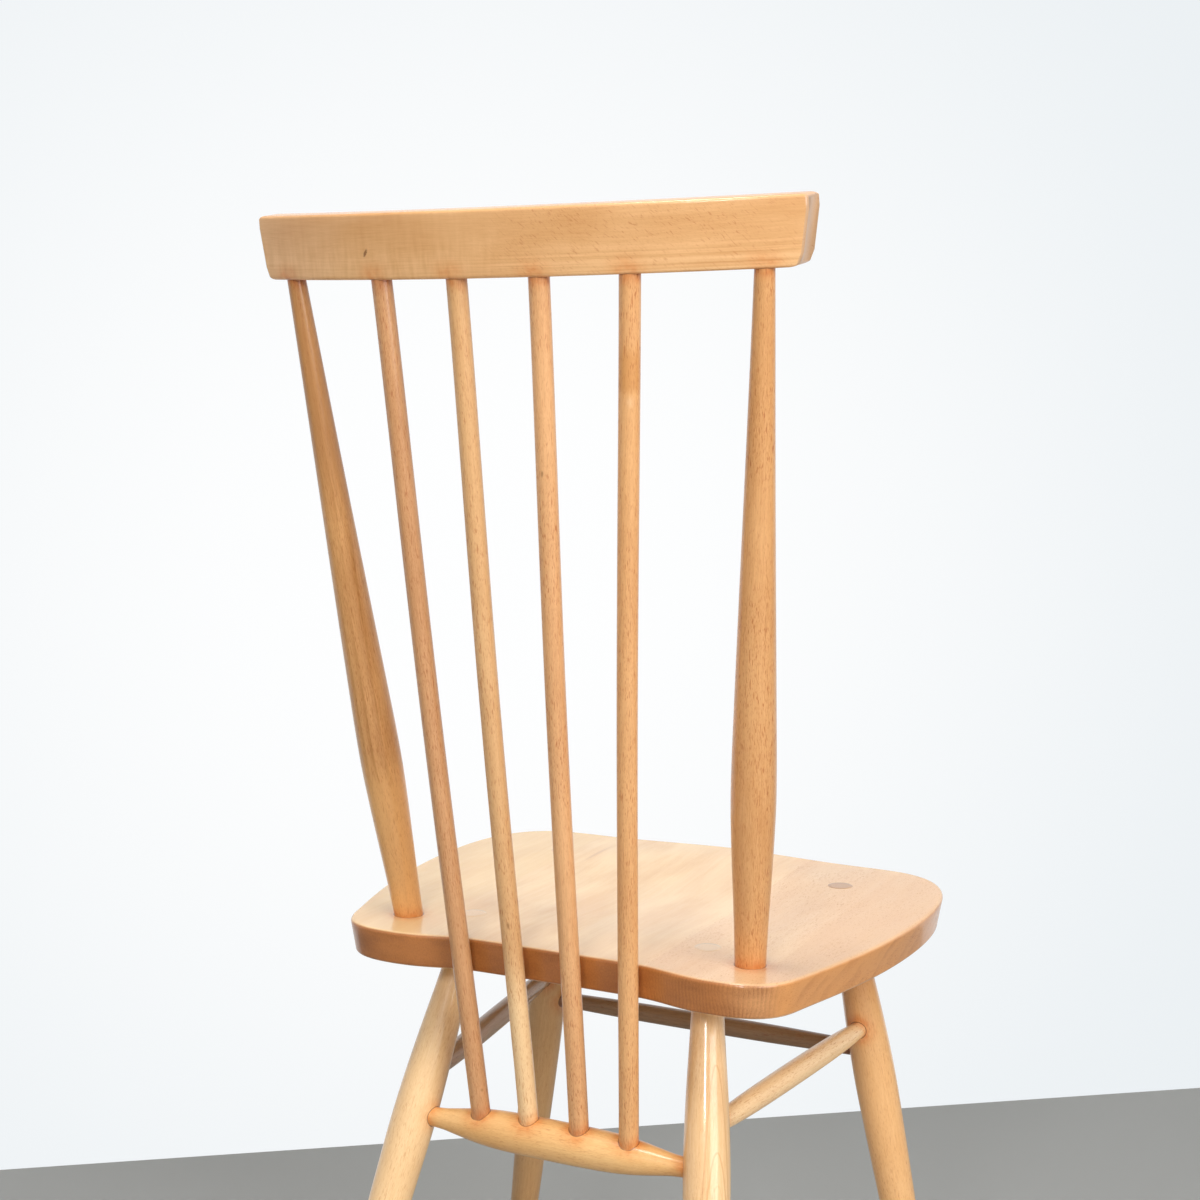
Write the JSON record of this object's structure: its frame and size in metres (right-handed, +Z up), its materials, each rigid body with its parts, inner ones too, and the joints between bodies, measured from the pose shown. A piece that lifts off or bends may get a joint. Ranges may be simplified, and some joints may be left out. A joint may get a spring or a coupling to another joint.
{
  "type": "stick-back kitchen chair",
  "caption": "Tall armless kitchen chair of clear-lacquered beech: dished seat, splayed turned legs with stretchers, and round sticks between swelled posts under a bowed top rail.",
  "frame": {"origin": "on the floor, under the centre of the chair's bounding box", "axes": "+Z up; the sitter faces -Y, so the back is at +Y; the sitter's left hand is at +X"},
  "size_m": [0.407, 0.4394, 0.9436],
  "materials": {
    "seat_wood": "pale beech under clear satin lacquer",
    "leg_wood": "honey beech under clear satin lacquer",
    "back_wood": "honey beech with short dark flecks, under clear satin lacquer"
  },
  "bodies": {
    "root": {"seat": "seat_wood", "leg_front_left": "leg_wood", "leg_front_right": "leg_wood", "leg_rear_left": "leg_wood", "leg_rear_right": "leg_wood", "stretcher_left": "leg_wood", "stretcher_right": "leg_wood", "stretcher_front": "leg_wood", "stretcher_rear": "leg_wood", "post_left": "back_wood", "post_right": "back_wood", "stick_1": "back_wood", "stick_2": "back_wood", "stick_3": "back_wood", "stick_4": "back_wood", "top_rail": "back_wood"}
  },
  "joints": []
}
